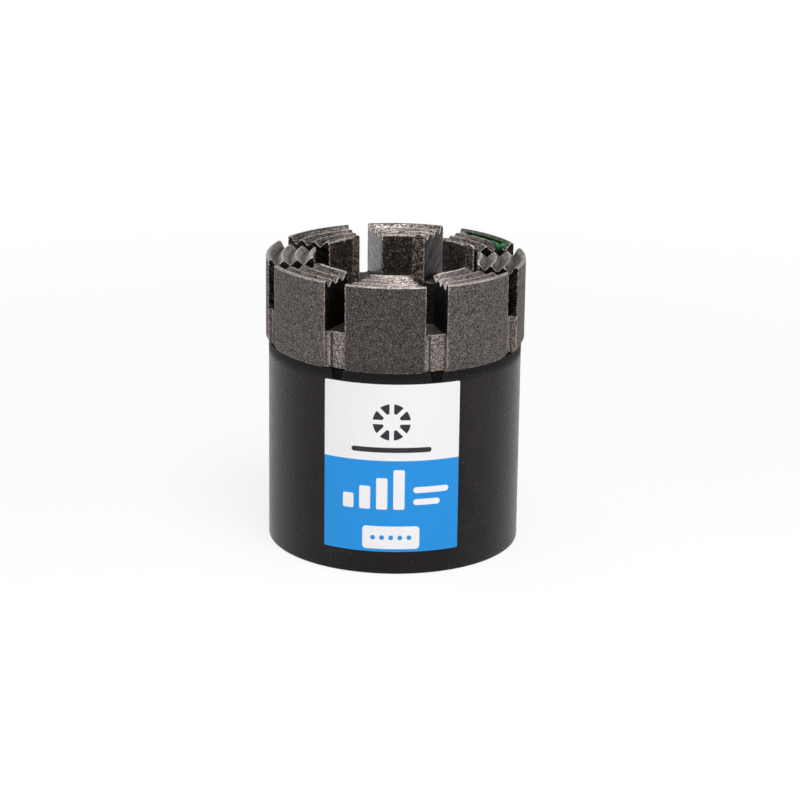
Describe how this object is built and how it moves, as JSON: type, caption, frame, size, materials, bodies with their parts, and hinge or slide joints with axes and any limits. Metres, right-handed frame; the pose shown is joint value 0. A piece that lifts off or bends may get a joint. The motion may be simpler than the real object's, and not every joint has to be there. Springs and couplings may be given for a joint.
{
  "type": "impregnated diamond core bit",
  "caption": "Diamond core bit: a black threaded steel blank with a sintered ring-grooved crown, cut into segments by waterways.",
  "frame": {"origin": "centre of the lower end face of the steel blank, on the drilling axis", "axes": "+Z along the drilling axis, from the threaded end towards the cutting face; +X through the middle of one waterway; -Y is the front, near the label"},
  "size_m": [0.0752, 0.0752, 0.0854],
  "materials": {
    "blackened_steel": "satin black, turned",
    "sintered_matrix": "granular, as sintered, with fine diamond grit",
    "label_film": "printed vinyl, white over blue",
    "green_paint": "glossy enamel"
  },
  "bodies": {
    "root": {"steel_blank": "blackened_steel", "crown": "sintered_matrix", "label": "label_film", "paint_mark": "green_paint"}
  },
  "joints": []
}
